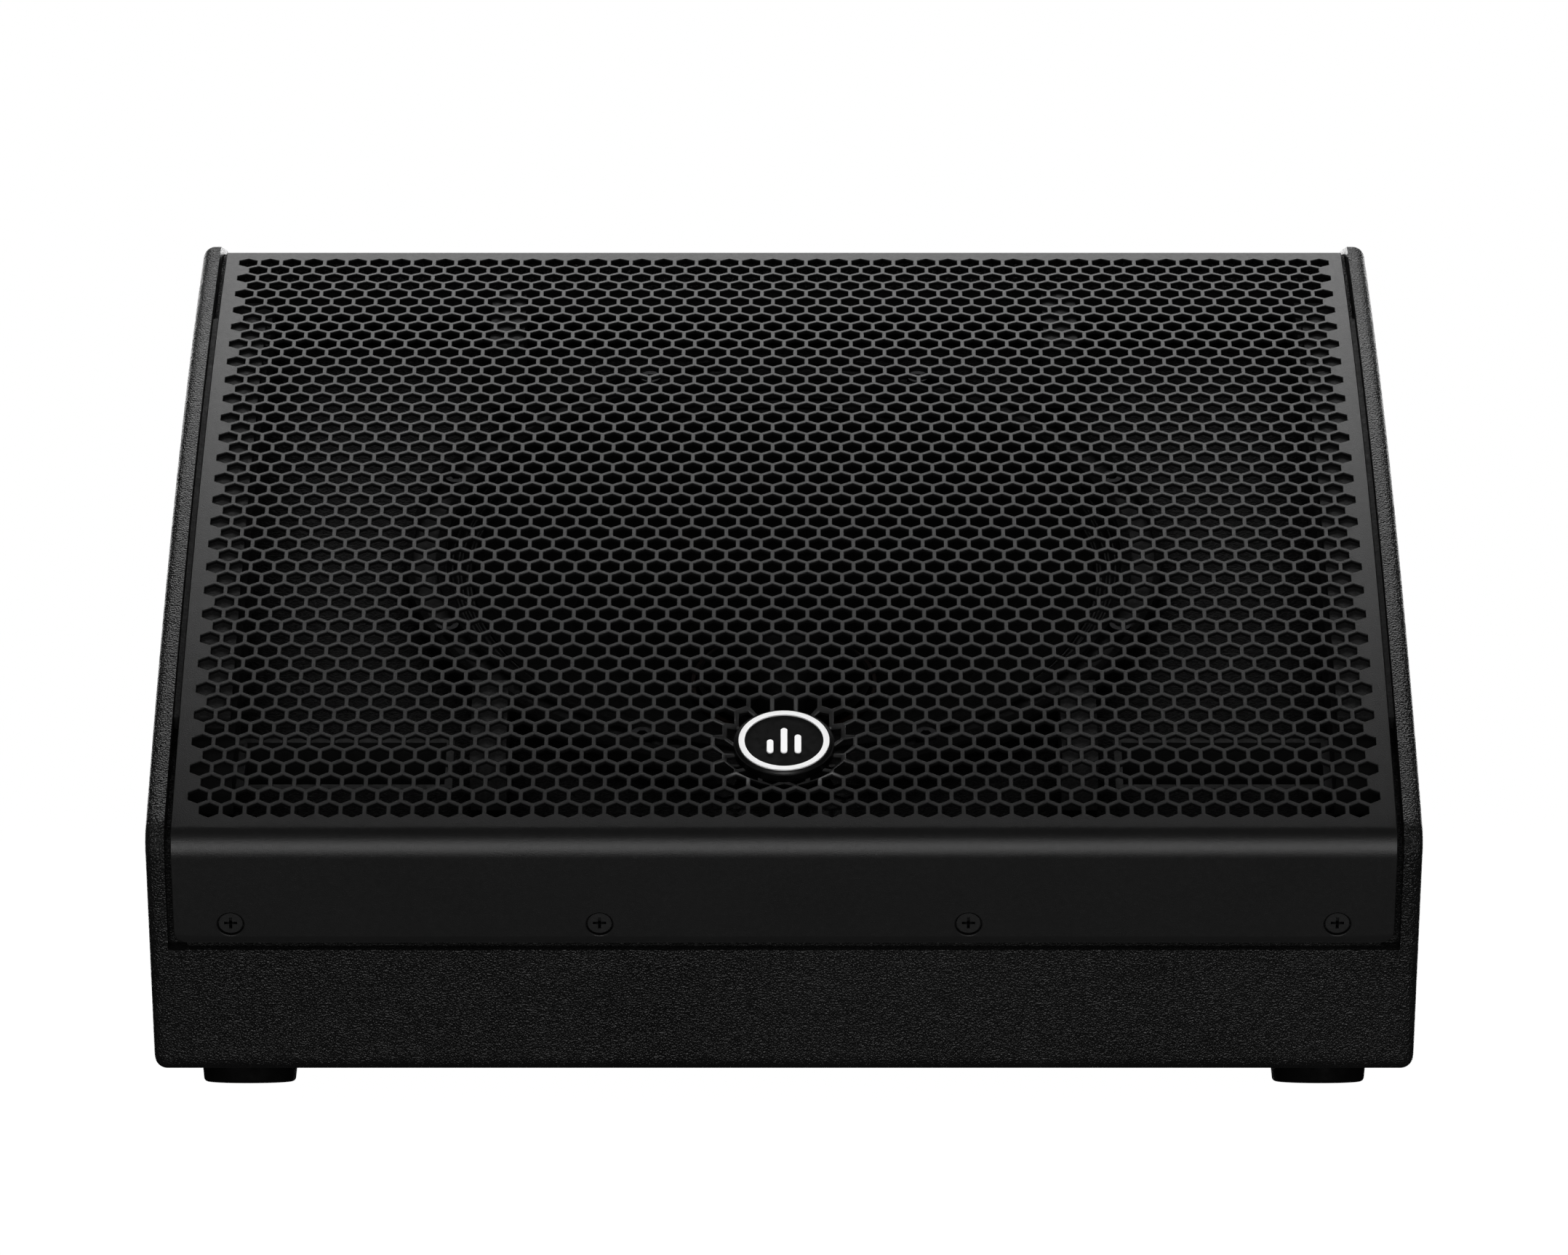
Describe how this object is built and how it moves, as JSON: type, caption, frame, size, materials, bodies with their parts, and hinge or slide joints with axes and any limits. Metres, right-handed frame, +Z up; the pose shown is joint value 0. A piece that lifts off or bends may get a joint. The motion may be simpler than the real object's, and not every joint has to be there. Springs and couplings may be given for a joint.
{
  "type": "stage monitor wedge",
  "caption": "Wedge-shaped stage loudspeaker with a bowed perforated grille, coaxial driver, carrying handle, pole socket and rear amplifier panel.",
  "frame": {"origin": "on the floor, under the middle of the bounding box", "axes": "+X to the viewer's right when facing the grille, front faces -Y, +Z up"},
  "size_m": [0.5, 0.4564, 0.347],
  "materials": {
    "coat": "textured polyurea coat on plywood",
    "bare_board": "black-stained plywood",
    "grille_paint": "matt powder coat",
    "screw_black": "black zinc",
    "zinc": "bright zinc",
    "badge_black": "satin",
    "badge_white": "satin print",
    "foot_rubber": "moulded",
    "foam": "closed-cell foam",
    "wool": "polyester wool",
    "cast_alloy": "black painted casting",
    "motor_steel": "black passivated",
    "ferrite": "sintered",
    "paper": "pulp cone",
    "doped_cloth": "doped cloth",
    "coil_copper": "wound",
    "titanium": "formed foil",
    "black_plastic": "fine moulded grain",
    "panel_alu": "black powder coat",
    "heatsink_alu": "black anodised",
    "tray_steel": "galvanised",
    "board_green": "solder mask",
    "socket_steel": "black powder coat",
    "lamp_lens": "clear tinted",
    "knob_plastic": "satin",
    "transformer_tape": "wound tape"
  },
  "bodies": {
    "cabinet": {"side_panel_left": "coat", "side_panel_right": "coat", "top_panel": "coat", "bottom_panel": "coat", "rear_panel": "coat", "front_rail": "coat", "baffle": "coat", "top_rail": "bare_board", "cross_brace": "bare_board", "grille_battens": "bare_board", "front_grille": "grille_paint", "grille_strips": "foam", "grille_spacers": "foam", "grille_screws": "screw_black", "badge_base": "badge_black", "badge_mark": "badge_white", "foot_screws": "zinc", "driver_basket": "cast_alloy", "driver_gasket": "foam", "driver_bolts": "screw_black", "driver_nuts": "zinc", "driver_top_plate": "motor_steel", "driver_magnet": "ferrite", "driver_yoke": "motor_steel", "surround": "doped_cloth", "spider": "doped_cloth", "hf_waveguide": "black_plastic", "hf_motor": "motor_steel", "hf_cover": "cast_alloy", "port_duct_left": "black_plastic", "port_duct_right": "black_plastic", "damping_wool": "wool", "handle_cup": "black_plastic", "pole_socket": "socket_steel", "fitting_screws": "screw_black", "amp_panel": "panel_alu", "amp_tray": "tray_steel", "heatsink": "heatsink_alu", "amp_board": "board_green", "transformer": "transformer_tape", "control_board": "board_green", "level_lamps": "lamp_lens", "input_jacks": "black_plastic", "thru_jack": "black_plastic", "power_module": "black_plastic", "amp_screws": "screw_black", "foot_front_left": "foot_rubber", "foot_front_right": "foot_rubber", "foot_rear_left": "foot_rubber", "foot_rear_right": "foot_rubber"},
    "cone_assembly": {"cone": "paper", "voice_coil": "coil_copper"},
    "hf_dome": {"hf_diaphragm": "titanium"},
    "level_knob_1": {"level_knob_1": "knob_plastic"},
    "level_knob_2": {"level_knob_2": "knob_plastic"},
    "jack_latch_1": {"jack_latch_1": "black_plastic"},
    "jack_latch_2": {"jack_latch_2": "black_plastic"},
    "contour_switch": {"contour_switch": "black_plastic"},
    "line_switch": {"line_switch": "black_plastic"},
    "power_rocker": {"power_rocker": "black_plastic"}
  },
  "joints": [
    {"name": "cone_travel", "type": "slide", "parent": "cabinet", "child": "cone_assembly", "axis": [0, -0.5432, 0.8396], "range_m": [-0.005, 0.005], "stiffness_N_per_m": 5900},
    {"name": "hf_travel", "type": "slide", "parent": "cabinet", "child": "hf_dome", "axis": [0, -0.5432, 0.8396], "range_m": [-0.0003, 0.0003], "stiffness_N_per_m": 3000},
    {"name": "level_turn_1", "type": "hinge", "parent": "cabinet", "child": "level_knob_1", "pos_m": [0.066, 0.19578, 0.22148], "axis": [0, 0.9945, 0.1045], "range_deg": [-150, 150]},
    {"name": "latch_press_1", "type": "slide", "parent": "cabinet", "child": "jack_latch_1", "axis": [0, 0.9945, 0.1045], "range_m": [-0.0015, 0], "stiffness_N_per_m": 300},
    {"name": "level_turn_2", "type": "hinge", "parent": "cabinet", "child": "level_knob_2", "pos_m": [0.066, 0.20143, 0.16777], "axis": [0, 0.9945, 0.1045], "range_deg": [-150, 150]},
    {"name": "latch_press_2", "type": "slide", "parent": "cabinet", "child": "jack_latch_2", "axis": [0, 0.9945, 0.1045], "range_m": [-0.0015, 0], "stiffness_N_per_m": 300},
    {"name": "line_slide", "type": "slide", "parent": "cabinet", "child": "line_switch", "axis": [-1, 0, 0], "range_m": [0, 0.004]},
    {"name": "contour_slide", "type": "slide", "parent": "cabinet", "child": "contour_switch", "axis": [-1, 0, 0], "range_m": [-0.002, 0.002]},
    {"name": "power_rock", "type": "hinge", "parent": "cabinet", "child": "power_rocker", "pos_m": [-0.005, 0.2043, 0.11177], "axis": [-1, 0, 0], "range_deg": [0, 16]}
  ]
}
